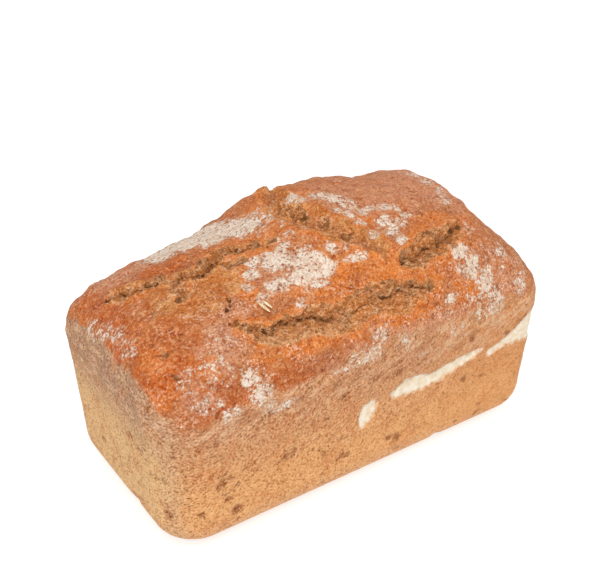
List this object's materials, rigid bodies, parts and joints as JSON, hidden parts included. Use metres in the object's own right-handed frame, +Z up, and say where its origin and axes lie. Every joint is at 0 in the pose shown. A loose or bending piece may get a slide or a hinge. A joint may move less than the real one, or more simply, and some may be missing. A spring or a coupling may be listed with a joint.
{
  "type": "spelt bread loaf",
  "caption": "Whole tin-baked loaf with a flat base, tapered walls and an uneven, torn, floured crown.",
  "frame": {"origin": "middle of the flat base, on the surface that the loaf stands on", "axes": "+Z up, +X along the loaf towards the higher end of the crown, -Y towards the side where the crown tore open"},
  "size_m": [0.2069, 0.1066, 0.1186],
  "materials": {
    "crust": "dry, matt baked crust dusted with flour"
  },
  "bodies": {
    "root": {"loaf": "crust"}
  },
  "joints": []
}
